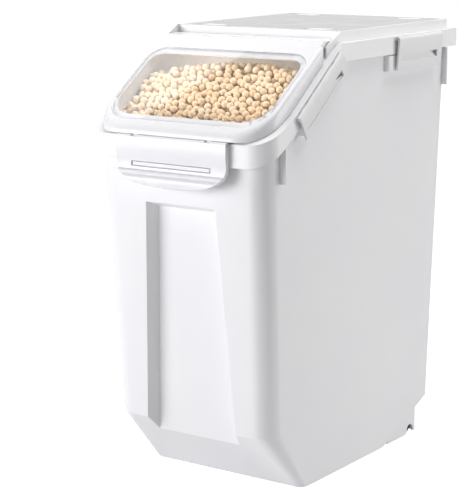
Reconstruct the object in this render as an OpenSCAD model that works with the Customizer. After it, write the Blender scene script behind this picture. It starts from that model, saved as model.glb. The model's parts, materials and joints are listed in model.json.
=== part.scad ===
// Wheeled rice bin: drafted tub, lift-off cover frame, flip lid with a clear window, clip latches.
// Millimetres, +Z up, front towards -Y, floor at z = 0, centred on x = 0 and y = 0.

/* [Overall] */
// Height from the floor to the top of the cover
bin_height = 460; // [440:1:480]
// Width of the cover over its collar
cover_width = 219; // [213:1:225]
// Depth of the cover over its collar
cover_depth = 377; // [369:1:385]
// How far the front latch stands out of the collar
latch_proud = 9; // [8.6:0.1:9.6]

/* [Tub] */
// Wall thickness of the tub
tub_wall = 2.6; // [2.2:0.1:3]
// Floor thickness of the tub
tub_floor = 3.2; // [2.8:0.1:4]
// Gap between the tub side and the inside of the collar
side_gap = 2.2; // [1.8:0.1:2.6]
// Gap between the tub front and the inside of the collar
front_gap = 4; // [3.2:0.1:5]
// Gap between the tub rear and the inside of the collar
rear_gap = 15.5; // [14.8:0.1:16.2]
// How much narrower the base is than the rim, each side
side_taper = 10.2; // [8:0.2:12]
// Draft of the front wall in degrees
front_draft = 3.5; // [3:0.1:4]
// Draft of the rear wall in degrees
rear_draft = 1.6; // [1:0.1:2.2]
// Corner radius at the front of the tub
tub_r_front = 21; // [17:1:25]
// Corner radius at the rear of the tub
tub_r_rear = 12; // [9:1:15]
// Corner radius at the front of the base
base_r_front = 9; // [7:1:12]
// Height of the front bottom chamfer
chamfer_front_h = 67; // [60:1:74]
// Depth of the front bottom chamfer
chamfer_front_run = 59; // [54:1:66]
// Height of the rear bottom chamfer
chamfer_rear_h = 38; // [36:0.5:41]
// Depth of the rear bottom chamfer
chamfer_rear_run = 94; // [90:1:98]
// Height of the foot pads under the base
foot_h = 1.2; // [0.8:0.1:1.8]
// Thickness of the guide fins on the tub side
fin_t = 2.4; // [2:0.1:3]
// Height of the rear guide fin below the collar
fin_h = 41; // [36:1:46]

/* [Grip groove] */
// Drop from the nose of the cover to the top of the groove
groove_drop = 66.4; // [60:0.2:80]
// Width of the groove at its top
groove_w_top = 84; // [76:1:92]
// Width of the groove at the chamfer
groove_w_low = 110; // [100:1:120]
// Depth of the groove
groove_depth = 13; // [10:0.5:16]
// Sideways slant of the groove walls
groove_slant = 5.5; // [4:0.5:7]

/* [Cover] */
// Depth of the part of the cover in front of the raised top
slope_depth = 143; // [139:1:147]
// Distance from the raised top to the bend above the nose
slope_run = 94; // [90:1:98]
// Level strip of the flange in front of the raised top
slope_start = 7.8; // [7.6:0.1:8.4]
// Angle of the flange on the slope in degrees
slope_angle = 36.7; // [36:0.1:37.2]
// Angle of the nose in front of the slope, in degrees
nose_angle = 25.5; // [24:0.5:27]
// Rise of the raised top above the flange
top_rise = 10.6; // [10.2:0.1:11.4]
// Thickness of the raised top
top_t = 3.4; // [3:0.1:4]
// Thickness of the flange
flange_t = 3; // [2.6:0.1:3.4]
// Thickness of the collar
collar_t = 2.5; // [2.2:0.1:2.8]
// Height of the collar
collar_h = 18.6; // [17.6:0.1:19.6]
// Height of the collar at the front
collar_front_h = 22.5; // [21.5:0.1:23.5]
// Shelf left around the raised top at the sides
top_inset = 5.9; // [5.5:0.1:6.3]
// Shelf left behind the raised top
top_inset_rear = 13.8; // [13:0.1:15]
// Border of the raised top around the panel
panel_border = 5; // [4:0.5:6]
// Corner radius at the front of the collar
cover_r_front = 24; // [22:1:27]
// Corner radius at the rear of the collar
cover_r_rear = 10; // [8:1:12]
// Distance from the lid side to the scoop mouth
mouth_side = 7; // [6.5:0.1:8]
// Distance from the collar front to the scoop mouth
mouth_front = 11.5; // [11:0.5:13]
// Distance from the raised top to the scoop mouth
mouth_rear = 16; // [15.6:0.1:17]
// Thickness of the rim around the scoop mouth
mouth_rim = 2.2; // [1.8:0.1:2.4]
// Thickness of the rim seal
seal_t = 2; // [1.6:0.1:2.4]

/* [Lid] */
// Height of the lid plane above the flange at the raised top
lid_rise = 21; // [20:0.2:22]
// Angle of the lid plane in degrees
lid_angle = 34.5; // [34:0.1:35]
// Step from the lid side to the collar side
lid_inset = 7.6; // [7:0.1:8.2]
// Wall thickness of the lid
lid_wall = 2.4; // [2.2:0.1:2.6]
// Thickness of the lid under the window
lid_top_t = 4.6; // [4.2:0.1:5]
// Plan corner radius of the lid
lid_r = 35; // [32:1:38]
// Edge rounding of the lid
lid_fillet = 4.9; // [4:0.1:5.2]
// Overhang of the lid lip in front of the collar
lid_lip = 3; // [2.8:0.1:3.2]
// Height of the lid lip above the nose
lip_up = 2.2; // [1.8:0.1:2.6]
// Thickness of the lid at its hinge
lid_flat_t = 1.9; // [1.8:0.1:2.2]
// Gap between the lid and the flange
lid_gap = 0.35; // [0.3:0.05:0.5]
// Radius of the lid hinge barrel
barrel_r = 3; // [2.8:0.1:3.2]
// Radius of the lid hinge pins
hinge_pin_r = 1.4; // [1.2:0.1:1.6]
// Running clearance on pins, per side
pin_gap = 0.05; // [0.03:0.01:0.09]
// Depth of the hinge axis below the flange
hinge_down = 0.2; // [0:0.1:0.6]
// Distance of the hinge axis in front of the raised top
hinge_out = 5.2; // [5.1:0.1:5.4]
// Thickness of the clear window
window_t = 2.2; // [1.8:0.1:2.4]
// Distance from the lid side to the clear opening
window_side = 9.4; // [9:0.1:10.4]
// Distance from the lid front to the clear opening
window_front = 17; // [16.5:0.1:18]
// Length of the clear opening along the slope
window_l = 95.4; // [90:0.2:96]
// Rim of the window at its sides
window_rim = 3.9; // [3:0.1:3.9]
// Rim of the window at its front and rear
window_rim_end = 7.6; // [6:0.1:8]

/* [Latches] */
// Length of a sloping side latch
clip_l_slope = 96; // [90:1:98]
// Length of a rear side latch
clip_l_rear = 93; // [88:1:96]
// Height of a sloping side latch
clip_h_slope = 28.6; // [28:0.2:30]
// Height of a rear side latch
clip_h_rear = 35.4; // [34:0.2:36]
// Thickness of a side latch over the collar
clip_t = 5.4; // [5.3:0.1:5.7]
// How far the foot of a side latch leans in
clip_lean = 2.6; // [2.2:0.1:2.8]
// Rounding of the upper edge of a side latch
clip_round = 3.2; // [3:0.1:3.3]
// Plate thickness of the side latches
plate_t = 2; // [1.8:0.1:2.2]
// Radius of the side latch pins
side_pin_r = 0.8; // [0.7:0.05:0.85]
// Radius of the side latch lugs
side_lug_r = 1.35; // [1.3:0.05:1.4]
// Radius of the side latch barrels
side_barrel_r = 2; // [1.9:0.02:2.04]
// Width of one side latch lug
lug_w = 8; // [7:0.5:9]
// Gap at each side of a lug
lug_gap = 0.4; // [0.3:0.05:0.6]
// Distance between rear latch centre and raised top
clip_rear_pos = 140; // [138:1:143]
// Distance along the slope to the sloping latch centre
clip_slope_pos = 60.4; // [59:0.2:62]
// Width of the front latch
front_latch_w = 133; // [126:1:138]
// Height of the front latch below its pin
front_latch_h = 47; // [45:0.5:48]
// Height of the rounded lower corners of the front latch
front_corner_h = 29; // [24:1:32]
// Side wall thickness of the front latch
front_side_t = 2.4; // [2:0.1:3]
// Radius of the front latch barrel
front_barrel_r = 2.7; // [2.6:0.05:2.8]
// Radius of the front latch pin
front_pin_r = 1; // [0.9:0.05:1.1]
// Radius of the front latch lugs
front_lug_r = 1.65; // [1.6:0.05:1.7]
// Width of one front latch lug
front_lug_w = 6; // [5:0.5:8]
// Distance from the latch side to a lug centre
front_lug_in = 22; // [18:1:26]
// Drop from the front latch pin to the slot
slot_drop = 23; // [22:0.5:24]
// Height of the slot in the front latch
slot_h = 5; // [4.6:0.1:5.4]
// Distance from the latch side to the slot
slot_side = 18.5; // [17:0.5:21]
// Gap between a closed latch and its catch
catch_gap = 0.35; // [0.3:0.05:0.5]

/* [Wheels] */
// Wheel radius
wheel_r = 14.2; // [13.4:0.2:14.4]
// Wheel width
wheel_w = 13; // [12:0.2:13.4]
// Gap between the wheel and the floor when the bin stands
wheel_lift = 0.5; // [0.3:0.1:1]
// Distance of the wheel axis behind the bottom edge
wheel_back = 47.5; // [46.5:0.5:48.5]
// Axle radius
axle_r = 3; // [2.6:0.1:3.2]
// Step from the tub side to the wheel housing
house_step = 1.4; // [1:0.1:2]
// Wall thickness of the wheel housing
house_wall = 1.8; // [1.6:0.1:2.2]

/* [Hidden] */
$fn = 48;
arc_n = 9;
lug_lap = 1;
clip_top = -0.6;
cov_hw = cover_width / 2;
cov_f = -(cover_depth + latch_proud) / 2 + latch_proud;
cov_r = (cover_depth + latch_proud) / 2;
riser_y = cov_f + slope_depth;
slope_y = riser_y - slope_start;
z_fl = bin_height - top_rise;
tan_s = tan(slope_angle);
tan_l = tan(lid_angle);
bend_y = riser_y - slope_run;
bend_z = z_fl - (slope_run - slope_start) * tan_s;
nose_z = bend_z - (slope_depth - slope_run) * tan(nose_angle);
collar_low = z_fl - collar_h;
tub_hw_top = cov_hw - collar_t - side_gap;
tub_hw_base = tub_hw_top - side_taper;
ref_z = nose_z - 12;
chamfer_y = tub_front(0) + chamfer_front_run;
base_rear_y = tub_rear(chamfer_rear_h) - chamfer_rear_run;
front_slope = (tub_front(chamfer_front_h) - chamfer_y) / chamfer_front_h;
rear_slope = chamfer_rear_run / chamfer_rear_h;
in_front_shift = tub_wall * sqrt(1 + front_slope * front_slope);
in_rear_shift = tub_wall * sqrt(1 + rear_slope * rear_slope);
in_floor_z = foot_h + tub_floor;
in_chf_z = (chamfer_y + in_front_shift - tub_wall - tub_front(chamfer_front_h)) / -front_slope;
in_chr_z = (tub_rear(chamfer_rear_h) - tub_wall - base_rear_y + in_rear_shift) / rear_slope;
groove_top = nose_z - groove_drop;
top_hw = cov_hw - top_inset;
top_rear = cov_r - top_inset_rear;
lid_hw = cov_hw - lid_inset;
lid_f = cov_f - lid_lip;
lid_rear_d = 31.5;
lid_rear_y = riser_y - lid_rear_d;
lid_skin_z = z_fl + lid_gap;
lid_flat_z = lid_skin_z + lid_flat_t;

flat_y = riser_y - (z_fl + lid_rise - lid_flat_z) / tan_l;
skin_y = riser_y - (z_fl + lid_rise - lid_top_t - lid_skin_z) / tan_l;
lip_low = nose_z + lip_up;
lip_y = cov_f + (lip_low - nose_z - 0.5) / tan(nose_angle);
ear_in = lid_hw - 3;
hinge_y = riser_y - hinge_out;
hinge_z = z_fl - hinge_down;
lid_edge_y = hinge_y + 1;
trough_r = barrel_r + 0.4;
open_hw = lid_hw - mouth_side;
open_f = cov_f + mouth_front;
open_r = riser_y - mouth_rear;
lid_seal_t = 2.2;
win_hw = lid_hw - window_side;
win_mid_s = window_l / 2 - (riser_y - lid_f - window_front) / cos(lid_angle);
latch_back_y = cov_f - 0.4;
fl_y = latch_back_y - front_barrel_r - 0.25;
fl_z = lip_low - front_barrel_r - catch_gap;
fl_out = cov_f - latch_proud;
fl_low = fl_z - front_latch_h;
fl_lug_x = front_latch_w / 2 - front_lug_in;
slot_hw = front_latch_w / 2 - slot_side;
catch_z = fl_z - slot_drop - slot_h / 2;
catch_tip = fl_y - 1.2;
boss_out = cov_hw - 0.3;
clip_u = side_barrel_r + 0.3;
clip_n = clip_top - side_barrel_r - 0.05;
collar_h_slope = collar_h * cos(slope_angle);
wheel_y = base_rear_y + wheel_back;
wheel_z = wheel_r + wheel_lift;
well_r = wheel_r + 1.6;
house_out = tub_hw(wheel_z) - house_step;
house_in = house_out - 2 * house_wall - wheel_w - 1.2;
wheel_x = (house_out + house_in) / 2;

function tub_hw(z) = tub_hw_base + side_taper * z / z_fl;
function tub_front(z) = cov_f + collar_t + front_gap + tan(front_draft) * (ref_z - z);
function tub_rear(z) = cov_r - collar_t - rear_gap - tan(rear_draft) * (collar_low - z);
function low_front(z) = z < chamfer_front_h ? chamfer_y + front_slope * z : tub_front(z);
function low_rear(z) = z < chamfer_rear_h ? base_rear_y + rear_slope * z : tub_rear(z);
function in_front(z) = z < in_chf_z ? chamfer_y + in_front_shift + front_slope * z : tub_front(z) + tub_wall;
function in_rear(z) = z < in_chr_z ? base_rear_y - in_rear_shift + rear_slope * z : tub_rear(z) - tub_wall;
function corner_r(z) = z < chamfer_front_h
    ? base_r_front + (tub_r_front - base_r_front) * (z - foot_h) / (chamfer_front_h - foot_h) : tub_r_front;
function nose_line(y) = bend_z - (bend_y - y) * tan(nose_angle);
function flange_z(y) = y > slope_y ? z_fl : (y > bend_y ? z_fl - (slope_y - y) * tan_s : nose_line(y));
function lid_z(y) = z_fl + lid_rise - (riser_y - y) * tan_l;
function arc(cx, cy, r, a0, n) = [for (i = [0:n]) [cx + r * cos(a0 + 90 * i / n), cy + r * sin(a0 + 90 * i / n)]];
function plan(hw, yf, yr, rf, rr, n = arc_n) = concat(arc(hw - rf, yf + rf, rf, -90, n),
    arc(hw - rr, yr - rr, rr, 0, n), arc(rr - hw, yr - rr, rr, 90, n), arc(rf - hw, yf + rf, rf, 180, n));
function shifted(pts, dx, dy) = [for (p = pts) [p[0] + dx, p[1] + dy]];
function ring(z, pts) = [for (p = pts) [p[0], p[1], z]];
function flange_line(dz) = [[cov_r + 20, z_fl + dz], [slope_y, z_fl + dz], [bend_y, bend_z + dz],
    [cov_f - 20, nose_line(cov_f - 20) + dz]];
function reversed(pts) = [for (i = [len(pts) - 1:-1:0]) pts[i]];
function lid_under(dz) = [[lid_edge_y, lid_skin_z + dz], [skin_y, lid_skin_z + dz],
    [cov_f - 20, lid_z(cov_f - 20) - lid_top_t + dz]];
function lid_ring(inset, dz) = [for (p = plan(lid_hw - inset, lid_f + inset, lid_rear_y, lid_r - inset, 3))
    [p[0], p[1], lid_z(p[1]) + dz]];
function clip_x(z, h) = clip_t - clip_lean * (clip_top - clip_round - z) / (h + clip_top - clip_round);
function latch_bow(inset) = [for (i = [0:12])
    [(front_latch_w / 2 - inset) * pow(cos(7.5 * i), 0.74),
    fl_low + front_corner_h - (front_corner_h - inset) * pow(sin(7.5 * i), 0.74)]];

// A solid skinned over a stack of rings with the same number of points
module loft(rings) {
  n = len(rings[0]);
  m = len(rings);
  pts = [for (r = rings) for (p = r) p];
  low = [[for (i = [0:n - 1]) i]];
  high = [[for (i = [0:n - 1]) (m - 1) * n + n - 1 - i]];
  side = [for (k = [0:m - 2]) for (i = [0:n - 1])
    [k * n + i, (k + 1) * n + i, (k + 1) * n + (i + 1) % n, k * n + (i + 1) % n]];
  polyhedron(points = pts, faces = concat(low, high, side), convexity = 6);
}

// A side outline in y and z, drawn out along x
module side_prism(pts, x0, x1) {
  translate([x0, 0, 0])
    rotate([90, 0, 90])
      linear_extrude(height = x1 - x0)
        polygon(pts);
}

// A level outline drawn up from z0 to z1
module up(pts, z0, z1) {
  translate([0, 0, z0])
    linear_extrude(height = z1 - z0)
      polygon(pts);
}

// A front outline in x and z, drawn back from y0 to y1
module front_prism(pts, y0, y1) {
  translate([0, y1, 0])
    rotate([90, 0, 0])
      linear_extrude(height = y1 - y0)
        polygon(pts);
}

// A cylinder along x through y and z
module rod_x(y, z, r, x0, x1) {
  translate([x0, y, z])
    rotate([0, 90, 0])
      cylinder(r = r, h = x1 - x0);
}

// A cylinder along y through x and z
module rod_y(x, z, r, y0, y1) {
  translate([x, y0, z])
    rotate([-90, 0, 0])
      cylinder(r = r, h = y1 - y0);
}

module both_sides() {
  children();
  mirror([1, 0, 0])
    children();
}

module at_rear_clip() {
  translate([cov_hw, riser_y + clip_rear_pos, z_fl])
    children();
}

module at_slope_clip() {
  translate([0, slope_y, z_fl])
    rotate([slope_angle, 0, 0])
      translate([cov_hw, -clip_slope_pos, 0])
        children();
}

module tub_ring_stack() {
  zs = [foot_h, chamfer_rear_h, chamfer_front_h, bin_height];
  loft([for (z = zs) ring(z, plan(tub_hw(z), low_front(z), low_rear(z), corner_r(z), tub_r_rear))]);
}

module tub_cavity() {
  zs = [in_floor_z, in_chr_z, in_chf_z, bin_height + 5];
  loft([for (z = zs) ring(z, plan(tub_hw(z) - tub_wall, in_front(z), in_rear(z),
    corner_r(z) - tub_wall, tub_r_rear - tub_wall))]);
}

module groove(grow) {
  w0 = groove_w_top / 2 + grow;
  k = (groove_w_low - groove_w_top) / 2 / (groove_top - chamfer_front_h);
  s = groove_slant / groove_depth;
  d0 = -9;
  d1 = groove_depth + grow;
  zt0 = groove_top + grow - s * d0;
  zt1 = groove_top + grow - s * d1;
  zb = chamfer_front_h / 3;
  pts = [for (c = [[-1, d0, zb], [1, d0, zb], [1, d1, zb], [-1, d1, zb],
      [-1, d0, zt0], [1, d0, zt0], [1, d1, zt1], [-1, d1, zt1]])
    [c[0] * (w0 + k * (groove_top - c[2]) - s * c[1]), tub_front(c[2]) + c[1], c[2]]];
  polyhedron(points = pts,
    faces = [[0, 1, 2, 3], [7, 6, 5, 4], [4, 5, 1, 0], [5, 6, 2, 1], [6, 7, 3, 2], [7, 4, 0, 3]]);
}

// Ledge on the tub side that a closed side latch hooks under
module boss_outline(s0, s1, x_in) {
  r = 5;
  polygon(concat([[x_in, s1], [x_in, s0]], arc(boss_out - cov_hw - r, s0 + r, r, -90, 6),
    [[boss_out - cov_hw, s1]]));
}

module latch_bosses() {
  at_rear_clip()
    translate([0, 0, -clip_h_rear])
      linear_extrude(height = clip_h_rear - collar_h - 0.8)
        boss_outline(-clip_l_rear / 2 - 14, clip_l_rear / 2 - 3, -side_gap - collar_t - 2);
  at_slope_clip()
    translate([0, 0, 0.8 - clip_h_slope])
      linear_extrude(height = clip_h_slope - collar_h_slope - 1.6)
        boss_outline(4 - clip_l_slope / 2, clip_l_slope / 2 - 4, -side_gap - collar_t - 2.6);
}

module guide_fins() {
  fin_in = tub_hw_top - 5;
  rear_fin_y = tub_rear(collar_low) - tub_r_rear + 1.5;
  front_fin_y = riser_y - slope_run - 17;
  translate([fin_in, rear_fin_y, collar_low - fin_h])
    cube([boss_out - fin_in, fin_t, fin_h - 0.8]);
  side_prism([[front_fin_y, nose_z - 39.5], [front_fin_y + fin_t, nose_z - 39.5],
    [front_fin_y + fin_t, nose_z - 6], [front_fin_y, nose_z - 6]], fin_in, boss_out);
}

module wheel_house() {
  low = foot_h;
  back = wheel_y + well_r + house_wall;
  arch = wheel_y + 12.4;
  side_prism([[wheel_y - 43, low], [wheel_y - 8, low], [wheel_y - 3, 1.8], [wheel_y - 0.6, 4], [wheel_y, 8],
    [wheel_y + 1.6, 10.4], [wheel_y + 4.6, 11.4], [wheel_y + 8.6, 11], [wheel_y + 11.4, 9], [arch, 5.4],
    [arch, 2.6], [back, 2.6], [back, chamfer_rear_h], [wheel_y - 43, chamfer_rear_h]],
    house_out - house_wall, house_out);
  side_prism([[wheel_y - 22, low], [wheel_y + 6, low], [back, 6], [back, chamfer_rear_h],
    [wheel_y - 22, chamfer_rear_h]], house_in, house_in + house_wall);
  side_prism([[wheel_y + well_r, 2.6], [back, 2.6], [back, chamfer_rear_h], [wheel_y + well_r, chamfer_rear_h]],
    house_in, house_out);
}

module wheel_well(grow) {
  x0 = house_in + house_wall - grow;
  x1 = house_out - house_wall + grow;
  rod_x(wheel_y, wheel_z, well_r + grow, x0, x1);
  translate([x0, wheel_y - well_r - grow, -2])
    cube([x1 - x0, 2 * well_r + 2 * grow, wheel_z + 2]);
}

module front_catch() {
  root = tub_front(catch_z) + 1.5;
  hw = slot_hw - 1.5;
  side_prism([[root, catch_z - 6], [catch_tip, catch_z - slot_h / 2 + 0.6],
    [catch_tip, catch_z + slot_h / 2 - 0.6], [root, catch_z + slot_h / 2 - 0.6]], -hw, hw);
}

module bin_body() {
  color([0.95, 0.95, 0.96])
  difference() {
    union() {
      intersection() {
        tub_ring_stack();
        side_prism(concat([[cov_r + 20, -5]], flange_line(-flange_t - seal_t - 0.1), [[cov_f - 20, -5]]),
          -cov_hw, cov_hw);
      }
      both_sides() {
        latch_bosses();
        guide_fins();
        wheel_house();
      }
      front_catch();
    }
    difference() {
      tub_cavity();
      groove(tub_wall);
      both_sides()
        wheel_well(tub_wall);
    }
    groove(0);
    both_sides()
      wheel_well(0);
    both_sides()
      rod_x(wheel_y, wheel_z, axle_r, house_in - 1, house_out - 0.6);
  }
}

module foot_pads() {
  color([0.35, 0.35, 0.36])
  for (sx = [-1, 1])
    for (yy = [chamfer_y + 26, base_rear_y - 26])
      translate([sx * (tub_hw_base - 22), yy, 0])
        cylinder(r = 9, h = foot_h);
}

module axle(sx) {
  color([0.62, 0.63, 0.65])
  mirror([sx < 0 ? 1 : 0, 0, 0])
    rod_x(wheel_y, wheel_z, axle_r, house_in + 0.2, house_out - 0.6);
}

module axle_left() {
  axle(-1);
}

module axle_right() {
  axle(1);
}

module wheel(sx) {
  h = wheel_w / 2;
  hub = 5.5;
  rim = wheel_r - 4;
  color([0.06, 0.06, 0.065])
  translate([sx * wheel_x, wheel_y, wheel_z])
    rotate([0, 90, 0])
      rotate_extrude($fn = 64)
        polygon([[axle_r + pin_gap, -h], [hub, -h], [hub, 1.6 - h], [rim, 1.6 - h], [rim, 0.4 - h],
          [wheel_r - 1.2, 0.4 - h], [wheel_r, 1.6 - h], [wheel_r, h - 1.6], [wheel_r - 1.2, h - 0.4],
          [rim, h - 0.4], [rim, h - 1.6], [hub, h - 1.6], [hub, h], [axle_r + pin_gap, h]]);
}

module wheel_left() {
  wheel(-1);
}

module wheel_right() {
  wheel(1);
}

// Cheek beside the lid hinge, running down from the raised top
module ear() {
  intersection() {
    side_prism([[riser_y + 1, z_fl - 1], [riser_y + 1, bin_height], [riser_y - 2.5, bin_height],
      [riser_y - 6.1, bin_height - 2.2], [riser_y - 17.2, z_fl + 2.7], [riser_y - 26.8, z_fl - 3.5],
      [riser_y - 26.8, flange_z(riser_y - 26.8) - 1], [slope_y, z_fl - 1]], ear_in + 0.8, top_hw);
    up([[ear_in, riser_y + 2], [top_hw, riser_y + 2], [top_hw, riser_y], [lid_hw - 0.9, riser_y - 29],
      [ear_in, riser_y - 29]], z_fl - 30, bin_height);
  }
}

// Hidden lugs that carry the pin of a side latch
module clip_lugs(l) {
  for (s = [-l * 0.3, l * 0.3])
    difference() {
      union() {
        rod_y(clip_u, clip_n, side_lug_r, s - lug_w / 2, s + lug_w / 2);
        translate([-lug_lap, s - lug_w / 2, clip_n - side_lug_r])
          cube([lug_lap + clip_u, lug_w, side_lug_r - 0.1]);
      }
      rod_y(clip_u, clip_n, side_pin_r, s - lug_w / 2 - 1, s + lug_w / 2 + 1);
    }
}

module collar_shell() {
  low_bend = bend_z - collar_h - 2.8;
  intersection() {
    up(plan(cov_hw, cov_f, cov_r, cover_r_front, cover_r_rear), nose_z - collar_front_h - 10, z_fl + 1);
    side_prism([[cov_r + 5, z_fl], [slope_y, z_fl], [bend_y, bend_z], [cov_f, nose_z], [cov_f - 5, nose_z - 2.4],
      [cov_f - 5, nose_z - collar_front_h], [cov_f, nose_z - collar_front_h], [bend_y - 6, low_bend],
      [slope_y, collar_low], [cov_r + 5, collar_low]], -cov_hw - 1, cov_hw + 1);
  }
}

// Rim around the scoop mouth, up to the lid seal
module mouth_upstand() {
  intersection() {
    up(plan(open_hw + mouth_rim, open_f - mouth_rim, open_r + mouth_rim, 28 + mouth_rim, 8 + mouth_rim),
      nose_z - 50, z_fl + 20);
    side_prism(concat(flange_line(-1), reversed(lid_under(-lid_seal_t - 0.2))), -lid_hw, lid_hw);
  }
}

module cover_frame() {
  color([0.96, 0.96, 0.97])
  difference() {
    union() {
      difference() {
        union() {
          collar_shell();
          up(plan(top_hw, riser_y, top_rear, 2, 6), z_fl - 1, bin_height);
        }
        intersection() {
          up(plan(cov_hw - collar_t, cov_f + collar_t, cov_r - collar_t, cover_r_front - collar_t,
            cover_r_rear - collar_t), nose_z - 120, z_fl + 1);
          side_prism(concat(flange_line(-flange_t), [[cov_f - 20, nose_z - 120], [cov_r + 20, nose_z - 120]]),
            -cov_hw, cov_hw);
        }
        up(plan(top_hw - collar_t, riser_y + collar_t, top_rear - collar_t, 1, 4), z_fl - 6, bin_height - top_t);
        up(plan(top_hw - panel_border, riser_y + panel_border, top_rear - panel_border, 3, 4),
          bin_height - 1.2, bin_height + 1);
      }
      side_prism([[riser_y + 0.1, z_fl - 6.2], [riser_y + 0.1, z_fl], [slope_y, z_fl],
        [riser_y - 11.6, flange_z(riser_y - 11.6)], [riser_y - 11.6, z_fl - 5.4], [riser_y - 10, z_fl - 6.2]],
        -ear_in - 2, ear_in + 2);
      mouth_upstand();
      both_sides()
        ear();
      both_sides() {
        at_rear_clip()
          clip_lugs(clip_l_rear);
        at_slope_clip()
          clip_lugs(clip_l_slope);
      }
    }
    up(plan(open_hw, open_f, open_r, 28, 8), nose_z - 60, z_fl + 30);
    rod_x(hinge_y, hinge_z, trough_r, -ear_in - 0.4, ear_in + 0.4);
    translate([-ear_in - 0.4, hinge_y - trough_r, hinge_z])
      cube([2 * ear_in + 0.8, trough_r + hinge_out, 8]);
    both_sides()
      rod_x(hinge_y, hinge_z, hinge_pin_r, ear_in, top_hw - 1.2);
  }
}

module top_panel() {
  border = panel_border + 0.2;
  color([0.72, 0.73, 0.75])
    up(plan(top_hw - border, riser_y + border, top_rear - border, 3, 4), bin_height - 1.2, bin_height - 0.2);
}

module stack_pads() {
  color([0.86, 0.87, 0.89])
  for (sx = [-1, 1])
    for (yy = [riser_y + 18, top_rear - 20])
      up(shifted(plan(13, -7, 7, 4, 4, 4), sx * (top_hw - 38), yy), bin_height - 0.2, bin_height);
}

module rim_seal() {
  yf = tub_front(ref_z);
  yr = tub_rear(z_fl);
  color([0.8, 0.82, 0.84])
  intersection() {
    difference() {
      up(plan(tub_hw_top + 0.5, yf - 1, yr + 1, tub_r_front, tub_r_rear), nose_z - 50, z_fl);
      up(plan(tub_hw_top - 3, yf + 3, yr - 3, tub_r_front - 3, tub_r_rear - 3), nose_z - 60, z_fl + 1);
    }
    side_prism(concat(flange_line(-flange_t), reversed(flange_line(-flange_t - seal_t))), -cov_hw, cov_hw);
  }
}

module window_outline(side, end) {
  polygon(plan(win_hw + side, -window_l / 2 - end, window_l / 2 + end, 26 + side, 16 + side));
}

// Places children on the lid plane: local y runs up the slope, local z stands off it
module on_window() {
  translate([0, riser_y, z_fl + lid_rise])
    rotate([lid_angle, 0, 0])
      translate([0, win_mid_s, 0])
        children();
}

// Hood of the lid: upright walls with a rounded edge to the sloping top
module lid_hood() {
  turns = 5;
  intersection() {
    loft(concat([lid_ring(0, -90)], [for (i = [0:turns])
      lid_ring(lid_fillet * (1 - cos(90 * i / turns)), -lid_fillet * (1 - sin(90 * i / turns)))]));
    side_prism([[riser_y - 10, z_fl + 30], [lid_f - 5, z_fl + 30], [lid_f - 5, lip_low], [lip_y, lip_low],
      [bend_y, bend_z + 0.5], [slope_y, z_fl + 0.5], [riser_y - 10, z_fl + 0.5]], -lid_hw - 1, lid_hw + 1);
  }
}

module lid_frame() {
  lap_y = lid_rear_y - 1;
  color([0.97, 0.97, 0.975])
  difference() {
    union() {
      difference() {
        lid_hood();
        intersection() {
          up(plan(lid_hw - lid_wall, lid_f + lid_wall, riser_y + 10, lid_r - lid_wall, 3), nose_z - 70, z_fl + 30);
          side_prism(concat(lid_under(0), [[cov_f - 20, nose_z - 80], [lid_edge_y, nose_z - 80]]), -lid_hw, lid_hw);
        }
      }
      side_prism([[lid_edge_y, lid_skin_z], [lid_edge_y, lid_flat_z], [flat_y, lid_flat_z], [lap_y, lid_z(lap_y)],
        [lap_y, lid_z(lap_y) - lid_top_t], [skin_y, lid_skin_z]], -ear_in, ear_in);
      rod_x(hinge_y, hinge_z, barrel_r, -ear_in, ear_in);
      both_sides() {
        rod_x(fl_y, fl_z, front_lug_r, fl_lug_x - front_lug_w / 2, fl_lug_x + front_lug_w / 2);
        side_prism([[fl_y + 0.9, fl_z - front_lug_r], [fl_y + front_barrel_r, fl_z - front_lug_r],
          [fl_y + front_barrel_r, lip_low + 2], [fl_y + 0.9, lip_low + 2]],
          fl_lug_x - front_lug_w / 2, fl_lug_x + front_lug_w / 2);
      }
    }
    on_window() {
      translate([0, 0, -20])
        linear_extrude(height = 30)
          window_outline(0, 0);
      translate([0, 0, -window_t])
        linear_extrude(height = 20)
          window_outline(window_rim + 0.2, window_rim_end + 0.2);
    }
    both_sides()
      rod_x(hinge_y, hinge_z, hinge_pin_r + pin_gap, ear_in - 15, ear_in + 1);
    rod_x(fl_y, fl_z, front_pin_r, -front_latch_w / 2, front_latch_w / 2);
  }
}

module lid_window() {
  color([0.85, 0.9, 0.93, 0.4])
  on_window()
    translate([0, 0, -window_t])
      linear_extrude(height = window_t)
        window_outline(window_rim, window_rim_end);
}

module lid_seal() {
  color([0.85, 0.86, 0.88])
  intersection() {
    difference() {
      up(plan(open_hw + 4, open_f - 4, open_r + 4.5, 32, 12), nose_z - 50, z_fl + 20);
      up(plan(open_hw - 0.4, open_f + 0.4, open_r - 3, 27, 7), nose_z - 60, z_fl + 30);
    }
    side_prism(concat(lid_under(0), reversed(lid_under(-lid_seal_t))), -ear_in, ear_in);
  }
}

module hinge_pin(sx) {
  color([0.7, 0.71, 0.73])
  mirror([sx < 0 ? 1 : 0, 0, 0])
    rod_x(hinge_y, hinge_z, hinge_pin_r, ear_in - 13, top_hw - 1.3);
}

module hinge_pin_left() {
  hinge_pin(-1);
}

module hinge_pin_right() {
  hinge_pin(1);
}

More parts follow.
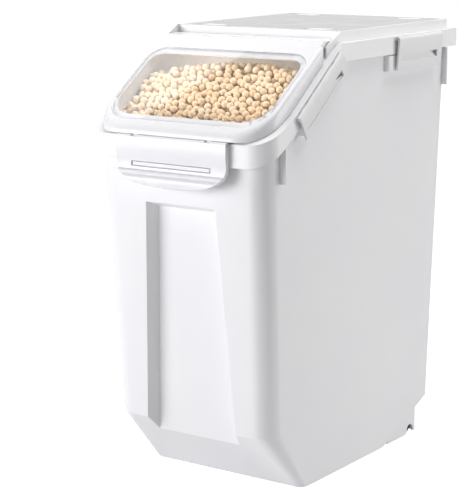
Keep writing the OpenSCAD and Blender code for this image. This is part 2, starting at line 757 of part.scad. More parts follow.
// Side section of the front latch: barrel, plate, bend, two roll beads and a curled foot
module latch_section(x0, x1) {
  side_prism(concat(shifted(arc(0, 0, front_barrel_r, 0, 6), fl_y, fl_z),
    shifted(arc(0, 0, front_barrel_r, 90, 6), fl_y, fl_z),
    [[fl_y - 2.9, fl_z - 13], [fl_y - 1.7, fl_z - slot_drop + 1], [fl_y - 1.6, fl_z - slot_drop - slot_h - 1],
    [fl_out + 3.4, fl_low + 16], [fl_out + 1.9, fl_low + 15.2], [fl_out + 1.1, fl_low + 13.8],
    [fl_out + 1.8, fl_low + 12.2], [fl_out + 1.9, fl_low + 11.4], [fl_out + 1, fl_low + 10.6],
    [fl_out + 0.15, fl_low + 9.2], [fl_out, fl_low + 7], [fl_out + 0.3, fl_low + 3], [fl_out + 1.2, fl_low + 0.7],
    [fl_out + 2.8, fl_low], [fl_y + 0.6, fl_low], [latch_back_y - 0.3, fl_low + 1.6], [latch_back_y, fl_low + 6],
    [latch_back_y, fl_z - 3]]), x0, x1);
}

module latch_front_outline(inset, y0, y1) {
  bow = latch_bow(inset);
  mirrored = [for (i = [11:-1:0]) [-bow[i][0], bow[i][1]]];
  hw = front_latch_w / 2 - inset;
  front_prism(concat(bow, mirrored, [[-hw, fl_z + 5], [hw, fl_z + 5]]), y0, y1);
}

module front_latch() {
  hw = front_latch_w / 2;
  pocket_r = front_lug_r + 0.25;
  pocket_w = front_lug_w / 2 + lug_gap;
  color([0.88, 0.89, 0.92])
  difference() {
    intersection() {
      latch_section(-hw, hw);
      latch_front_outline(0, fl_out - 2, cov_f);
    }
    intersection() {
      side_prism([[fl_y + 0.5, fl_z - front_barrel_r - 1.6], [fl_y + 0.5, fl_low + 2.4], [cov_f + 1, fl_low + 2.4],
        [cov_f + 1, fl_z - front_barrel_r - 1.6]], front_side_t - hw, hw - front_side_t);
      latch_front_outline(front_side_t, fl_y, cov_f + 1);
    }
    rod_x(fl_y, fl_z, front_pin_r + pin_gap, -hw - 1, hw + 1);
    both_sides()
      translate([fl_lug_x, 0, 0]) {
        rod_x(fl_y, fl_z, pocket_r, -pocket_w, pocket_w);
        side_prism([[fl_y - 5, fl_z + 1], [fl_y + 0.65, fl_z + 1], [fl_y + 0.65, fl_z - pocket_r - 0.3],
          [fl_y + 6, fl_z - pocket_r - 0.3], [fl_y + 6, fl_z + 6], [fl_y - 5, fl_z + 6]], -pocket_w, pocket_w);
      }
    translate([-slot_hw, fl_y - 10, catch_z - slot_h / 2])
      cube([2 * slot_hw, 12, slot_h]);
  }
}

module front_latch_pin() {
  color([0.7, 0.71, 0.73])
    rod_x(fl_y, fl_z, front_pin_r, 2 - front_latch_w / 2, front_latch_w / 2 - 2);
}

// One side latch in its own frame: x outwards, y along the hinge, z up
module clip(l, h, ch) {
  low = -h;
  g_top = low + (h - ch) * 0.6 + 6;
  g_low = g_top - 6.8;
  deep = 1.2;
  hole = l * 0.39;
  pocket_r = side_lug_r + 0.25;
  difference() {
    union() {
      rod_y(clip_u, clip_n, side_barrel_r, -l / 2, l / 2);
      translate([0, l / 2, 0])
        rotate([90, 0, 0])
          linear_extrude(height = l)
            polygon(concat([[1.2, low], [clip_t - clip_lean - 1, low], [clip_t - clip_lean, low + 1]],
              arc(clip_t - clip_round, clip_top - clip_round, clip_round, 0, 8),
              [[clip_u - 0.9, clip_top - 0.25], [clip_u - 0.6, clip_n - 1.8], [clip_u + 0.9, clip_n - 2.4],
              [clip_x(-ch, h) - plate_t, -ch], [clip_x(low + 5.4, h) - plate_t, low + 5.4], [0.5, low + 4.2],
              [0.5, low + 1]]));
    }
    rod_y(clip_u, clip_n, side_pin_r + pin_gap, -l / 2 - 1, l / 2 + 1);
    for (s = [-l * 0.3, l * 0.3]) {
      rod_y(clip_u, clip_n, pocket_r, s - lug_w / 2 - lug_gap, s + lug_w / 2 + lug_gap);
      translate([-1, s - lug_w / 2 - lug_gap, clip_n - pocket_r - 0.1])
        cube([clip_u + 0.9, lug_w + 2 * lug_gap, pocket_r + 5]);
    }
    translate([0, hole, 0])
      rotate([90, 0, 0])
        linear_extrude(height = l * 0.82)
          polygon([[clip_x(g_top, h) + 1, g_top + 1], [clip_x(g_top, h), g_top], [clip_x(g_low, h) - deep, g_low],
            [clip_x(g_low, h) + 1, g_low - 0.6]]);
    side_prism([[hole - 16, g_top], [hole, g_top], [hole, g_low]], clip_x(g_low, h) - plate_t - 1.5, clip_t + 1);
  }
}

module clip_pin(l) {
  color([0.7, 0.71, 0.73])
    rod_y(clip_u, clip_n, side_pin_r, 2 - l / 2, l / 2 - 2);
}

module latch_slope_right() {
  color([0.95, 0.95, 0.96])
    at_slope_clip()
      clip(clip_l_slope, clip_h_slope, collar_h_slope);
}

module latch_slope_left() {
  mirror([1, 0, 0])
    latch_slope_right();
}

module latch_rear_right() {
  color([0.95, 0.95, 0.96])
    at_rear_clip()
      clip(clip_l_rear, clip_h_rear, collar_h);
}

module latch_rear_left() {
  mirror([1, 0, 0])
    latch_rear_right();
}

module pin_slope_right() {
  at_slope_clip()
    clip_pin(clip_l_slope);
}

module pin_slope_left() {
  mirror([1, 0, 0])
    pin_slope_right();
}

module pin_rear_right() {
  at_rear_clip()
    clip_pin(clip_l_rear);
}

module pin_rear_left() {
  mirror([1, 0, 0])
    pin_rear_right();
}

bin_body();
foot_pads();
axle_left();
axle_right();
wheel_left();
wheel_right();
cover_frame();
rim_seal();
top_panel();
stack_pads();
lid_frame();
lid_window();
lid_seal();
hinge_pin_left();
hinge_pin_right();
front_latch();
front_latch_pin();
latch_slope_left();
latch_slope_right();
latch_rear_left();
latch_rear_right();
pin_slope_left();
pin_slope_right();
pin_rear_left();
pin_rear_right();
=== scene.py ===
import json
import math

import bmesh
import bpy
import numpy as np
from mathutils import Matrix, Vector
from mathutils.bvhtree import BVHTree
from mathutils.kdtree import KDTree


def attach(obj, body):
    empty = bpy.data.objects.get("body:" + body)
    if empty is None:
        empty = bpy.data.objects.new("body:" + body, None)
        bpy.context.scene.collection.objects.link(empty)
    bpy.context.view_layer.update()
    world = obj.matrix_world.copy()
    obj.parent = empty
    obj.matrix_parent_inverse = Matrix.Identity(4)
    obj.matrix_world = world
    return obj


# Looks of the wheeled rice bin: its plastics, clear window, rubber and steel, the beans inside,
# a plain pale floor, soft studio light and the camera. All sizes are in metres.

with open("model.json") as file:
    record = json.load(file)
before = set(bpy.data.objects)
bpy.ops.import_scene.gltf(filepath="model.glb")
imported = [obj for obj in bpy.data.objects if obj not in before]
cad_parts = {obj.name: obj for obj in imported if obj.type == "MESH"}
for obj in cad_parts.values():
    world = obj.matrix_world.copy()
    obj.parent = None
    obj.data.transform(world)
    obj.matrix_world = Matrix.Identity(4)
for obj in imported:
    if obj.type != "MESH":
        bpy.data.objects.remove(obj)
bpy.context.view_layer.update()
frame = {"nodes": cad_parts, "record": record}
nodes = frame["nodes"]
scene = bpy.context.scene
rng = np.random.default_rng(7)
UP = Vector((0, 0, 1))

# ---------------------------------------------------------------- camera

CAMERA_AT = (0.98374, -1.47361, 0.58526)
CAMERA_YAW = math.radians(35.45)
CAMERA_PITCH = math.radians(11.44)
CAMERA_ROLL = math.radians(-0.37)
CAMERA_LENS = 124.27
CAMERA_SENSOR = 36.0
CAMERA_SEES = (0.1, 30.0)


def make_camera():
    data = bpy.data.cameras.new("camera")
    data.lens = CAMERA_LENS
    data.sensor_width = CAMERA_SENSOR
    data.clip_start, data.clip_end = CAMERA_SEES
    cam = bpy.data.objects.new("camera", data)
    scene.collection.objects.link(cam)
    back = Vector((math.sin(CAMERA_YAW) * math.cos(CAMERA_PITCH),
                   -math.cos(CAMERA_YAW) * math.cos(CAMERA_PITCH),
                   math.sin(CAMERA_PITCH)))
    right = Vector((math.cos(CAMERA_YAW), math.sin(CAMERA_YAW), 0))
    up = back.cross(right)
    x_axis = math.cos(CAMERA_ROLL) * right + math.sin(CAMERA_ROLL) * up
    y_axis = -math.sin(CAMERA_ROLL) * right + math.cos(CAMERA_ROLL) * up
    turn = Matrix((x_axis, y_axis, back)).transposed()
    cam.matrix_world = Matrix.Translation(CAMERA_AT) @ turn.to_4x4()
    scene.camera = cam


make_camera()

# ---------------------------------------------------------------- materials


class Nodes:
    """Short ways to add and join the nodes of one tree."""

    def __init__(self, tree):
        self.tree = tree

    def add(self, kind, **settings):
        node = self.tree.nodes.new(kind)
        for key, value in settings.items():
            setattr(node, key, value)
        return node

    def link(self, source, target):
        self.tree.links.new(source, target)

    def math(self, operation, first, second, third=None):
        """A Math node; each operand is a number or an output of another node."""
        node = self.add("ShaderNodeMath", operation=operation)
        for socket, value in zip(node.inputs, (first, second, third)):
            if isinstance(value, (int, float)):
                socket.default_value = value
            elif value is not None:
                self.link(value, socket)
        return node.outputs[0]

    def spread(self, source, low, high, start=0.3, end=0.7):
        """Maps start..end, by default the middle of a noise, to low..high."""
        node = self.add("ShaderNodeMapRange")
        for key, value in (("From Min", start), ("From Max", end), ("To Min", low), ("To Max", high)):
            node.inputs[key].default_value = value
        self.link(source, node.inputs["Value"])
        return node.outputs["Result"]

    def ray_is(self, *kinds):
        """1 for rays of any of the two named kinds, else 0."""
        rays = self.add("ShaderNodeLightPath")
        return self.math("MAXIMUM", *(rays.outputs[f"Is {kind} Ray"] for kind in kinds))


class Shader(Nodes):
    """A material with a Principled shader, and short ways to add nodes to it."""

    def __init__(self, name, **inputs):
        self.material = bpy.data.materials.new(name)
        self.material.use_nodes = True
        super().__init__(self.material.node_tree)
        self.main = self.tree.nodes["Principled BSDF"]
        self.output = self.tree.nodes["Material Output"]
        self.place = self.add("ShaderNodeTexCoord").outputs["Object"]
        for key, value in inputs.items():
            self.main.inputs[key.replace("_", " ")].default_value = value

    def noise(self, scale, detail=2.0, rough=0.5, vector=None):
        node = self.add("ShaderNodeTexNoise")
        node.inputs["Scale"].default_value = scale
        node.inputs["Detail"].default_value = detail
        node.inputs["Roughness"].default_value = rough
        self.link(vector or self.place, node.inputs["Vector"])
        return node.outputs["Fac"]

    def blend(self, factor, first, second):
        node = self.add("ShaderNodeMix", data_type="RGBA")
        for key, value in (("A", first), ("B", second)):
            socket = next(s for s in node.inputs if s.name == key and s.type == "RGBA")
            if isinstance(value, tuple):
                socket.default_value = (*value, 1.0)
            else:
                self.link(value, socket)
        self.link(factor, node.inputs["Factor"])
        return next(s for s in node.outputs if s.type == "RGBA")

    def colour(self, factor, first, second):
        """Base colour that goes from the first to the second with the factor."""
        self.link(self.blend(factor, first, second), self.main.inputs["Base Color"])

    def roughness(self, source, low, high):
        self.link(self.spread(source, low, high), self.main.inputs["Roughness"])

    def bump(self, height, distance, strength=1.0, edge=0.0):
        """Surface relief; edge is the radius of the soft edges under it."""
        node = self.add("ShaderNodeBump")
        node.inputs["Distance"].default_value = distance
        node.inputs["Strength"].default_value = strength
        if edge > 0:
            bevel = self.add("ShaderNodeBevel", samples=6)
            bevel.inputs["Radius"].default_value = edge
            self.link(bevel.outputs["Normal"], node.inputs["Normal"])
        self.link(height, node.inputs["Height"])
        self.link(node.outputs["Normal"], self.main.inputs["Normal"])


GRAIN_DEPTH = 0.00003
SINK_DEPTH = 0.00012
SOFT_EDGE = 0.0009


def moulded(name, light, shade, rough=(0.32, 0.42), **inputs):
    """Injection-moulded plastic: faint cloudy tone, fine grain and very slight sink waviness."""
    s = Shader(name, IOR=1.5, **inputs)
    s.colour(s.spread(s.noise(9.0, 3.0), 0.0, 1.0), light, shade)
    s.roughness(s.noise(30.0, 4.0, 0.6), *rough)
    grain = s.noise(1400.0, 2.0)
    sink = s.noise(7.0, 1.0)
    relief = s.math("MULTIPLY_ADD", sink, SINK_DEPTH / GRAIN_DEPTH, grain)
    s.bump(relief, GRAIN_DEPTH, edge=SOFT_EDGE)
    return s.material


def clear_window():
    """Clear glossy sheet that lets the light through to what lies under it."""
    s = Shader("window_clear", Transmission_Weight=1.0, IOR=1.46)
    s.colour(s.spread(s.noise(12.0, 3.0), 0.0, 1.0), (0.985, 0.985, 0.99), (0.965, 0.97, 0.98))
    s.roughness(s.noise(40.0, 4.0), 0.012, 0.03)
    s.bump(s.noise(5.0, 1.0), 0.0002, 0.4)
    through = s.add("ShaderNodeBsdfTransparent")
    through.inputs["Color"].default_value = (0.99, 0.99, 0.99, 1)
    mix = s.add("ShaderNodeMixShader")
    s.link(s.ray_is("Shadow", "Diffuse"), mix.inputs["Fac"])
    s.link(s.main.outputs["BSDF"], mix.inputs[1])
    s.link(through.outputs["BSDF"], mix.inputs[2])
    s.link(mix.outputs["Shader"], s.output.inputs["Surface"])
    return s.material


def rubber(name, light, shade):
    """Dull rubber with a fine rough skin."""
    s = Shader(name, IOR=1.45)
    s.colour(s.spread(s.noise(60.0, 4.0), 0.0, 1.0), light, shade)
    s.roughness(s.noise(200.0, 3.0), 0.6, 0.78)
    s.bump(s.noise(900.0, 3.0), 0.00006)
    return s.material


def brushed_steel():
    """Steel with fine drawn lines along X, the direction of the long pins."""
    s = Shader("pin_steel", Metallic=1.0)
    stretch = s.add("ShaderNodeMapping")
    stretch.inputs["Scale"].default_value = (0.03, 1.0, 1.0)
    s.link(s.place, stretch.inputs["Vector"])
    lines = s.noise(1800.0, 3.0, 0.6, stretch.outputs["Vector"])
    s.colour(s.spread(lines, 0.0, 1.0), (0.62, 0.63, 0.65), (0.5, 0.51, 0.53))
    s.roughness(lines, 0.24, 0.38)
    s.bump(lines, 0.00002)
    return s.material


BEAN_TONES = ((0.0, (0.82, 0.55, 0.28)), (0.45, (0.93, 0.70, 0.43)), (1.0, (0.96, 0.80, 0.57)))
BEAN_MOTTLE = (0.95, 0.78, 0.53)
# Colour of the painted shade in the gaps between beans
BEAN_PAINTED_SHADE = (0.66, 0.40, 0.19)


def bean_skin(painted_shade_reach):
    """Dry soybean: matt golden tan, each bean its own tone, mottled, and darkened by painted shade where
    beans meet.
    """
    s = Shader("bean_skin", IOR=1.42)
    ramp = s.add("ShaderNodeValToRGB")
    stops = ramp.color_ramp.elements
    stops.new(BEAN_TONES[1][0])
    for stop, (place, colour) in zip(stops, BEAN_TONES):
        stop.position = place
        stop.color = (*colour, 1)
    s.link(s.add("ShaderNodeAttribute", attribute_name="tone").outputs["Fac"], ramp.inputs["Fac"])
    mottle = s.spread(s.noise(420.0, 3.0, 0.6), 0.0, 0.35)
    skin = s.blend(mottle, ramp.outputs["Color"], BEAN_MOTTLE)
    # Painted shade: ambient occlusion darkens the base colour where neighbouring beans close a bean in
    painted_shade = s.add("ShaderNodeAmbientOcclusion", samples=8)
    painted_shade.inputs["Distance"].default_value = painted_shade_reach
    s.colour(s.spread(painted_shade.outputs["AO"], 0.0, 1.0, 0.05, 0.5), BEAN_PAINTED_SHADE, skin)
    s.roughness(s.noise(500.0, 2.0), 0.42, 0.6)
    s.bump(s.noise(900.0, 2.0), 0.00008)
    return s.material


# Each record slot with its two close tones
MATERIALS = {
    "tub_white": moulded("tub_white", (0.86, 0.86, 0.87), (0.84, 0.84, 0.855)),
    "cover_white": moulded("cover_white", (0.91, 0.91, 0.915), (0.89, 0.89, 0.90)),
    "panel_grey": moulded("panel_grey", (0.81, 0.81, 0.825), (0.78, 0.78, 0.795), rough=(0.10, 0.16)),
    "pad_grey": moulded("pad_grey", (0.95, 0.95, 0.955), (0.93, 0.93, 0.94), rough=(0.45, 0.55)),
    "lid_white": moulded("lid_white", (0.855, 0.855, 0.865), (0.835, 0.835, 0.85), rough=(0.22, 0.3)),
    "window_clear": clear_window(),
    "latch_milky": moulded("latch_milky", (0.86, 0.86, 0.885), (0.83, 0.83, 0.86), rough=(0.2, 0.28)),
    "clip_white": moulded("clip_white", (0.83, 0.83, 0.835), (0.81, 0.81, 0.82)),
    "seal_grey": rubber("seal_grey", (0.84, 0.84, 0.85), (0.79, 0.79, 0.80)),
    "foot_rubber": rubber("foot_rubber", (0.1, 0.1, 0.105), (0.07, 0.07, 0.075)),
    "wheel_black": moulded("wheel_black", (0.008, 0.008, 0.0085), (0.015, 0.015, 0.0155),
                           rough=(0.5, 0.62), Specular_IOR_Level=0.2),
    "pin_steel": brushed_steel(),
}

SMOOTH_BELOW = math.radians(28)
WELD = 2e-6


def smoothing_group():
    """Node group that welds a mesh and shades it smooth except across its real edges."""
    group = bpy.data.node_groups.new("smooth_by_angle", "GeometryNodeTree")
    group.interface.new_socket("Geometry", in_out="INPUT", socket_type="NodeSocketGeometry")
    group.interface.new_socket("Geometry", in_out="OUTPUT", socket_type="NodeSocketGeometry")
    g = Nodes(group)
    start = g.add("NodeGroupInput")
    end = g.add("NodeGroupOutput")
    weld = g.add("GeometryNodeMergeByDistance")
    weld.inputs["Distance"].default_value = WELD
    faces = g.add("GeometryNodeSetShadeSmooth")
    edges = g.add("GeometryNodeSetShadeSmooth", domain="EDGE")
    edges.inputs["Shade Smooth"].default_value = False
    angle = g.add("GeometryNodeInputMeshEdgeAngle")
    sharp = g.add("FunctionNodeCompare", operation="GREATER_THAN")
    sharp.inputs["B"].default_value = SMOOTH_BELOW
    for source, target in ((start.outputs[0], weld.inputs["Geometry"]),
                           (weld.outputs["Geometry"], faces.inputs["Geometry"]),
                           (faces.outputs["Geometry"], edges.inputs["Geometry"]),
                           (angle.outputs["Unsigned Angle"], sharp.inputs["A"]),
                           (sharp.outputs["Result"], edges.inputs["Selection"]),
                           (edges.outputs["Geometry"], end.inputs[0])):
        g.link(source, target)
    return group


SMOOTHING = smoothing_group()


def dress(name, node):
    """Gives a CAD node its material and smooth shading; its shape stays."""
    slot = next(p["material_slot"] for p in frame["record"]["subparts"] if p["node"] == name)
    node.data.materials.clear()
    node.data.materials.append(MATERIALS[slot])
    smooth = node.modifiers.new("smooth", "NODES")
    smooth.node_group = SMOOTHING


for node_name, node_object in nodes.items():
    dress(node_name, node_object)

# ---------------------------------------------------------------- beans

# One bean: its size, its three proportions, the dent along one side, and how beans differ
BEAN = 0.0078
BEAN_FORM = (1.07, 0.98, 0.93)
DENT_DEPTH = 0.035
DENT_WIDTH = 0.22
SIZE_SPREAD = (0.92, 1.05)
TONE_SPREAD = (2.4, 2.0)

# The heap leans under the window up to a rounded crest, then falls to the rear
HEAP_GAP = 0.008
HEAP_GAP_SPREAD = 0.2
CREST_AT = (0.020, -0.078, 0.4275)
CREST_ROUND = 1.45
HEAP_FALL = 0.2
CLEAR = 0.0012

# Where the tub, the cover and the window are measured
BELOW_COVER = 0.30
WALL_LEVELS = np.linspace(0.33, 0.44, 12)
FRONT_LEVELS = 4
WINDOW_YS = (-0.11, -0.14)
CORNER_FRONT = 0.0185
CORNER_REAR = 0.0095
CELL = 0.004
GRID_X = 0.104
GRID_Y = 0.184
COVER_NODES = ("cover_frame", "rim_seal", "lid_frame", "lid_window", "lid_seal")

# Start of the packing: layers of beans in rows, in bean sizes unless said otherwise
LAYERS = 4
FIELD_X = 0.102
FIELD_Y = 0.180
PITCH_X = 1.06
PITCH_Y = 0.93
PITCH_DEPTH = 0.84
JITTER_DEPTH = 0.25
JITTER_PLAN = 0.5

# Packing: how beans push each other apart and sink back to their depth
RELAX_STEPS = 96
PAIRS_EVERY = 6
PAIR_REACH = 1.25
TOUCH = 0.98
PUSH = 0.8
SINK = 0.02


def tree_of(names):
    """One search tree over several CAD nodes."""
    points, faces = [], []
    for name in names:
        mesh = nodes[name].data
        start = len(points)
        points += [v.co.copy() for v in mesh.vertices]
        faces += [[start + i for i in polygon.vertices] for polygon in mesh.polygons]
    return BVHTree.FromPolygons(points, faces)


def wall(tree, z, direction):
    """Distance from the middle of the tub to its inside wall."""
    return tree.ray_cast(Vector((0, 0, z)), Vector(direction))[3]


def underside(tree, x, y):
    """Height of the first surface over a point, or None."""
    hit = tree.ray_cast(Vector((x, y, BELOW_COVER)), UP)[0]
    return None if hit is None else hit.z


def window_plane(window):
    """Height at y = 0 and slope of the underside of the clear window, seen from the side."""
    rear, front = WINDOW_YS
    high, low = (underside(window, 0, y) for y in WINDOW_YS)
    slope = (high - low) / (rear - front)
    return high - slope * rear, slope


def fill_surface(x, y, plane, cover):
    """Height the beans reach at a point: their heap, kept clear of the cover and the lid."""
    off = (x - CREST_AT[0]) ** 2
    under_window = plane[0] + plane[1] * y - HEAP_GAP - HEAP_GAP_SPREAD * off
    behind_crest = CREST_AT[2] - CREST_ROUND * off - HEAP_FALL * (y - CREST_AT[1])
    top = min(under_window, behind_crest)
    for dx in (-BEAN / 2, 0, BEAN / 2):
        for dy in (-BEAN / 2, 0, BEAN / 2):
            z = underside(cover, x + dx, y + dy)
            if z is not None:
                top = min(top, z - CLEAR)
    return top


class Heap:
    """The tub's inside near the top of the beans, as functions of place."""

    def __init__(self):
        tub = tree_of(["bin_body"])
        cover = tree_of(COVER_NODES)
        self.plane = window_plane(tree_of(["lid_window"]))
        self.z = WALL_LEVELS
        self.side = np.array([wall(tub, z, (1, 0, 0)) for z in self.z])
        self.rear = np.array([wall(tub, z, (0, 1, 0)) for z in self.z])
        # The front wall ends below the slope, so its line is carried on upwards
        low = self.z[:FRONT_LEVELS]
        fronts = np.array([wall(tub, z, (0, -1, 0)) for z in low])
        self.front = np.polyval(np.polyfit(low, fronts, 1), self.z)
        self.xs = np.arange(-GRID_X, GRID_X + 0.0001, CELL)
        self.ys = np.arange(-GRID_Y, GRID_Y + 0.0001, CELL)
        self.tops = np.array([[fill_surface(x, y, self.plane, cover) for y in self.ys] for x in self.xs])

    def top(self, x, y):
        """Height of the beans at many points, read between the cells."""
        u = np.clip((x - self.xs[0]) / CELL, 0, len(self.xs) - 1.001)
        v = np.clip((y - self.ys[0]) / CELL, 0, len(self.ys) - 1.001)
        i, j = u.astype(int), v.astype(int)
        fu, fv = u - i, v - j
        t = self.tops
        low = t[i, j] * (1 - fv) + t[i, j + 1] * fv
        high = t[i + 1, j] * (1 - fv) + t[i + 1, j + 1] * fv
        return low * (1 - fu) + high * fu

    def push_in(self, p, room):
        """Moves points that are nearer than `room` to the tub wall back inside it."""
        half_x = np.interp(p[:, 2], self.z, self.side) - room
        rear = np.interp(p[:, 2], self.z, self.rear) - room
        front = -np.interp(p[:, 2], self.z, self.front) + room
        middle = (rear + front) / 2
        half_y = (rear - front) / 2
        off = p[:, 1] - middle
        corner = np.where(off < 0, CORNER_FRONT, CORNER_REAR) - room
        qx = np.abs(p[:, 0]) - (half_x - corner)
        qy = np.abs(off) - (half_y - corner)
        length = np.hypot(np.maximum(qx, 0), np.maximum(qy, 0))
        outside = (length > corner) & (qx > 0) & (qy > 0)
        shrink = np.where(outside, corner / np.maximum(length, 1e-9), 1.0)
        p[:, 0] = np.where(outside, np.sign(p[:, 0]) * (half_x - corner + qx * shrink), p[:, 0])
        off = np.where(outside, np.sign(off) * (half_y - corner + qy * shrink), off)
        p[:, 0] = np.clip(p[:, 0], -half_x, half_x)
        p[:, 1] = middle + np.clip(off, -half_y, half_y)


def near_pairs(p, reach):
    """Pairs of points that are no further apart than the reach."""
    tree = KDTree(len(p))
    for i, point in enumerate(p):
        tree.insert(point, i)
    tree.balance()
    return np.array([(i, j) for i, point in enumerate(p)
                     for _, j, _ in tree.find_range(point, reach) if j > i])


def layered_start(heap):
    """Jittered layers of beans under the heap's surface, and the depth of each bean."""
    starts, depths = [], []
    step_x, step_y = BEAN * PITCH_X, BEAN * PITCH_Y
    for layer in range(LAYERS):
        shift = rng.uniform(0, BEAN, 2) / 2
        for row, y in enumerate(np.arange(-FIELD_Y, FIELD_Y, step_y)):
            for x in np.arange(-FIELD_X, FIELD_X, step_x):
                starts.append((x + shift[0] + (row % 2) * step_x / 2, y + shift[1], 0))
                depths.append(BEAN * (0.5 + PITCH_DEPTH * layer))
    p = np.array(starts)
    depth = np.array(depths) + rng.uniform(-JITTER_DEPTH, JITTER_DEPTH, len(p)) * BEAN
    p[:, :2] += rng.uniform(-JITTER_PLAN, JITTER_PLAN, (len(p), 2)) * BEAN
    p[:, 2] = heap.top(p[:, 0], p[:, 1]) - depth
    return p, depth


def settle(heap):
    """Places of the beans, pushed apart inside the tub until they only touch."""
    p, depth = layered_start(heap)
    heap.push_in(p, BEAN / 2)
    for step in range(RELAX_STEPS):
        if step % PAIRS_EVERY == 0:
            a, b = near_pairs(p, BEAN * PAIR_REACH).T
        away = p[a] - p[b]
        gap = np.linalg.norm(away, axis=1)
        short = np.maximum(BEAN * TOUCH - gap, 0) / 2
        move = away / np.maximum(gap, 1e-6)[:, None] * (short * PUSH)[:, None]
        np.add.at(p, a, move)
        np.add.at(p, b, -move)
        top = heap.top(p[:, 0], p[:, 1])
        p[:, 2] += SINK * (top - depth - p[:, 2])
        p[:, 2] = np.minimum(p[:, 2], top - BEAN / 2)
        heap.push_in(p, BEAN / 2)
    return p


def bean_shape():
    """Vertices and faces of one bean: a ball a little longer than wide, with a dent along one side."""
    form = bmesh.new()
    bmesh.ops.create_icosphere(form, subdivisions=2, radius=0.5)
    points = np.array([v.co for v in form.verts])
    faces = np.array([[v.index for v in f.verts] for f in form.faces])
    form.free()
    dent = np.exp(-((points[:, 0] / DENT_WIDTH) ** 2)) * np.clip(points[:, 2] * 2, 0, 1) ** 2
    points[:, 2] -= DENT_DEPTH * dent
    return points * np.array(BEAN_FORM), faces


def turned(points, angles):
    """The bean's points turned by each row of three angles."""
    a, b, c = angles.T
    ca, sa, cb, sb, cc, sc = np.cos(a), np.sin(a), np.cos(b), np.sin(b), np.cos(c), np.sin(c)
    turn = np.array([[ca * cb, ca * sb * sc - sa * cc, ca * sb * cc + sa * sc],
                     [sa * cb, sa * sb * sc + ca * cc, sa * sb * cc - ca * sc],
                     [-sb, cb * sc, cb * cc]]).transpose(2, 0, 1)
    return np.einsum("nij,kj->nki", turn, points)


def pour_beans(heap):
    """All beans as one mesh that stays with the tub."""
    places = settle(heap)
    points, faces = bean_shape()
    count = len(places)
    sizes = BEAN * rng.uniform(*SIZE_SPREAD, count)
    spin = turned(points, rng.uniform(0, 2 * math.pi, (count, 3)))
    body = (spin * sizes[:, None, None] + places[:, None, :]).reshape(-1, 3)
    corners = (faces[None, :, :] + (np.arange(count) * len(points))[:, None, None]).reshape(-1, 3)
    mesh = bpy.data.meshes.new("beans")
    mesh.vertices.add(len(body))
    mesh.vertices.foreach_set("co", body.ravel())
    mesh.loops.add(corners.size)
    mesh.loops.foreach_set("vertex_index", corners.ravel())
    mesh.polygons.add(len(corners))
    mesh.polygons.foreach_set("loop_start", np.arange(0, corners.size, 3))
    mesh.update(calc_edges=True)
    mesh.shade_smooth()
    tone = mesh.attributes.new("tone", "FLOAT", "POINT")
    tone.data.foreach_set("value", np.repeat(rng.beta(*TONE_SPREAD, count), len(points)))
    mesh.materials.append(bean_skin(BEAN))
    beans = bpy.data.objects.new("beans", mesh)
    scene.collection.objects.link(beans)
    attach(beans, "bin")


heap = Heap()
pour_beans(heap)

# ---------------------------------------------------------------- floor and world

# Both are bright where the camera sees them, also through the window, and dim as lights
FLOOR_SIZE = 14.0
FLOOR_GLOW = (0.15, 0.95)
WORLD_GLOW = (0.09, 1.0)
WORLD_IN_GLOSS = 0.5


def make_floor():
    """A level pale floor, a little uneven in tone."""
    mesh = bpy.data.meshes.new("floor")
    h = FLOOR_SIZE / 2
    mesh.from_pydata([(-h, -h, 0), (h, -h, 0), (h, h, 0), (-h, h, 0)], [], [(0, 1, 2, 3)])
    floor = bpy.data.objects.new("floor", mesh)
    scene.collection.objects.link(floor)
    s = Shader("floor", IOR=1.4, Emission_Color=(1, 1, 1, 1))
    s.colour(s.spread(s.noise(2.0), 0.0, 1.0), (0.72, 0.72, 0.72), (0.70, 0.70, 0.705))
    s.roughness(s.noise(8.0), 0.6, 0.7)
    seen = s.ray_is("Camera", "Transmission")
    s.link(s.spread(seen, *FLOOR_GLOW, 0.0, 1.0), s.main.inputs["Emission Strength"])
    mesh.materials.append(s.material)


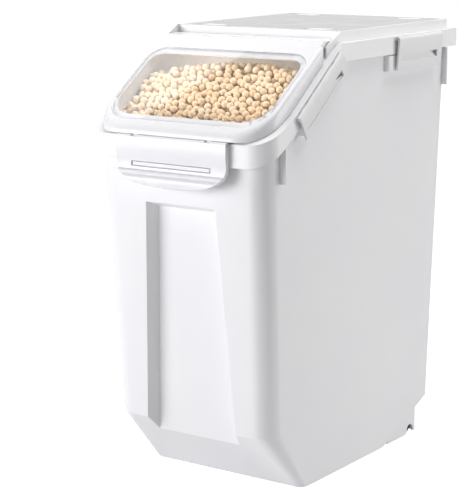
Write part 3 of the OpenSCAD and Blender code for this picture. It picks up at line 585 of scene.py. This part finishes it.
def make_world():
    """White where the camera looks past the object, dim for the light it gives."""
    world = bpy.data.worlds.new("world")
    world.use_nodes = True
    w = Nodes(world.node_tree)
    background = w.tree.nodes["Background"]
    background.inputs["Color"].default_value = (1, 1, 1, 1)
    gloss = w.add("ShaderNodeLightPath").outputs["Is Glossy Ray"]
    seen = w.math("MULTIPLY_ADD", gloss, WORLD_IN_GLOSS, w.ray_is("Camera", "Transmission"))
    w.link(w.spread(seen, *WORLD_GLOW, 0.0, 1.0), background.inputs["Strength"])
    scene.world = world
    scene.view_settings.view_transform = "Standard"


make_floor()
make_world()

# ---------------------------------------------------------------- light

KEY_TINT = (1.0, 0.985, 1.012)


def softbox(name, at, towards, size, radiance):
    """A rectangular studio light that looks at a point; radiance is its own brightness."""
    data = bpy.data.lights.new(name, "AREA")
    data.shape = "RECTANGLE"
    data.size, data.size_y = size
    data.energy = radiance * size[0] * size[1] * math.pi
    lamp = bpy.data.objects.new(name, data)
    lamp.location = at
    lamp.rotation_euler = (Vector(towards) - Vector(at)).to_track_quat("-Z", "Y").to_euler()
    lamp.visible_camera = False
    scene.collection.objects.link(lamp)
    return lamp


key = softbox("key", at=(-1.93, -2.45, 0.62), towards=(0, 0, 0.2), size=(2.2, 1.4), radiance=8.2)
key.data.color = KEY_TINT
softbox("fill", at=(1.9, 1.45, 0.7), towards=(0, 0, 0.22), size=(1.3, 1.3), radiance=3.4)
softbox("overhead", at=(0.35, 0.25, 2.0), towards=(0, 0, 0.4), size=(1.3, 1.3), radiance=5.3)

# Thin white plastic lets light into the bin: two dim lights under the top panel and the window
softbox("rear_glow", at=(0.02, 0.05, 0.436), towards=(0.02, 0.05, 0.3), size=(0.13, 0.15), radiance=2.0)
GLOW_Y = -0.118
GLOW_DROP = 0.003
window_z, window_slope = heap.plane
glow_at = Vector((0, GLOW_Y, window_z + window_slope * GLOW_Y - GLOW_DROP))
window_glow = softbox("window_glow", at=glow_at, towards=glow_at + Vector((0, window_slope, -1)),
                      size=(0.16, 0.08), radiance=0.3)
window_glow.visible_transmission = False
window_glow.visible_glossy = False

# A level bright card: its reflection hazes the left of the window up to a slanting edge
CARD_EDGE = Vector((-0.595, 0.0715, 1.2))
CARD_TURN = math.atan2(0.559, 0.829)
CARD_SIZE = (0.8, 0.4)
card_at = CARD_EDGE + Vector((-math.sin(CARD_TURN), math.cos(CARD_TURN), 0)) * CARD_SIZE[1] / 2
card = softbox("card", at=card_at, towards=card_at - UP, size=CARD_SIZE, radiance=1.7)
card.rotation_euler = (0, 0, CARD_TURN)
